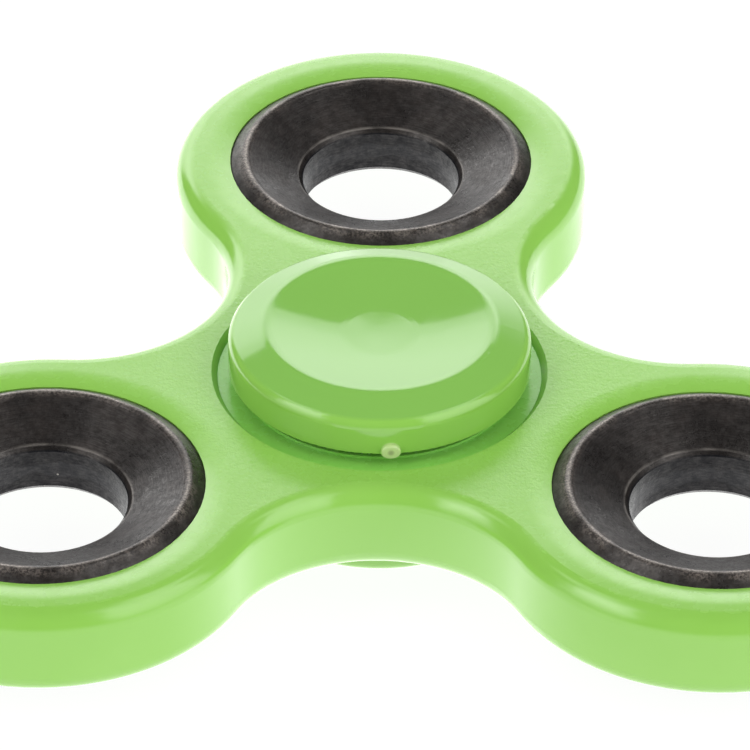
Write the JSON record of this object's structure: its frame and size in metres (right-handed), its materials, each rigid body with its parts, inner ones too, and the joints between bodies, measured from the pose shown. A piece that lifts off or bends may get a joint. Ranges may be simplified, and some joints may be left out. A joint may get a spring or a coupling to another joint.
{
  "type": "fidget spinner",
  "caption": "Three-armed hand spinner: moulded body, round ring weight in each arm, shielded ball bearing and two dished finger caps.",
  "frame": {"origin": "centre of the ball bearing, half way between its two faces; it is the centroid of the whole part", "axes": "+Z is the spin axis, out through the top finger cap; one arm points along +Y, the other two at 210 and 330 degrees from +X"},
  "size_m": [0.0754, 0.0693, 0.0144],
  "materials": {
    "green_abs": "glossy with fine-grained flat faces",
    "black_steel": "satin black oxide",
    "bearing_steel": "ground",
    "ball_steel": "polished",
    "cage_steel": "pressed",
    "shield_steel": "pressed",
    "spring_steel": "drawn"
  },
  "bodies": {
    "hub": {"top_cap": "green_abs", "bottom_cap": "green_abs", "bearing_inner_race": "bearing_steel"},
    "rotor": {"body": "green_abs", "weight_back": "black_steel", "weight_left": "black_steel", "weight_right": "black_steel", "bearing_outer_race": "bearing_steel", "shield_top": "shield_steel", "shield_bottom": "shield_steel", "snap_ring_top": "spring_steel", "snap_ring_bottom": "spring_steel"},
    "cage": {"cage_upper": "cage_steel", "cage_lower": "cage_steel", "cage_rivets": "cage_steel"},
    "ball_1": {"ball_1": "ball_steel"},
    "ball_2": {"ball_2": "ball_steel"},
    "ball_3": {"ball_3": "ball_steel"},
    "ball_4": {"ball_4": "ball_steel"},
    "ball_5": {"ball_5": "ball_steel"},
    "ball_6": {"ball_6": "ball_steel"},
    "ball_7": {"ball_7": "ball_steel"}
  },
  "joints": [
    {"name": "spin", "type": "hinge", "parent": "hub", "child": "rotor", "pos_m": [0, 0, 0], "axis": [0, 0, 1], "continuous": true},
    {"name": "cage_orbit", "type": "hinge", "parent": "hub", "child": "cage", "pos_m": [0, 0, 0], "axis": [0, 0, 1], "continuous": true},
    {"name": "ball_1_roll", "type": "hinge", "parent": "cage", "child": "ball_1", "pos_m": [0, 0.00675, 0], "axis": [0, 0, 1], "continuous": true},
    {"name": "ball_2_roll", "type": "hinge", "parent": "cage", "child": "ball_2", "pos_m": [-0.00528, 0.00421, 0], "axis": [0, 0, 1], "continuous": true},
    {"name": "ball_3_roll", "type": "hinge", "parent": "cage", "child": "ball_3", "pos_m": [-0.00658, -0.0015, 0], "axis": [0, 0, 1], "continuous": true},
    {"name": "ball_4_roll", "type": "hinge", "parent": "cage", "child": "ball_4", "pos_m": [-0.00293, -0.00608, 0], "axis": [0, 0, 1], "continuous": true},
    {"name": "ball_5_roll", "type": "hinge", "parent": "cage", "child": "ball_5", "pos_m": [0.00293, -0.00608, 0], "axis": [0, 0, 1], "continuous": true},
    {"name": "ball_6_roll", "type": "hinge", "parent": "cage", "child": "ball_6", "pos_m": [0.00658, -0.0015, 0], "axis": [0, 0, 1], "continuous": true},
    {"name": "ball_7_roll", "type": "hinge", "parent": "cage", "child": "ball_7", "pos_m": [0.00528, 0.00421, 0], "axis": [0, 0, 1], "continuous": true}
  ],
  "couplings": [
    {"joint": "cage_orbit", "follows": "spin", "ratio": 0.62963},
    {"joint": "ball_1_roll", "follows": "spin", "ratio": 1.7989},
    {"joint": "ball_2_roll", "follows": "spin", "ratio": 1.7989},
    {"joint": "ball_3_roll", "follows": "spin", "ratio": 1.7989},
    {"joint": "ball_4_roll", "follows": "spin", "ratio": 1.7989},
    {"joint": "ball_5_roll", "follows": "spin", "ratio": 1.7989},
    {"joint": "ball_6_roll", "follows": "spin", "ratio": 1.7989},
    {"joint": "ball_7_roll", "follows": "spin", "ratio": 1.7989}
  ]
}
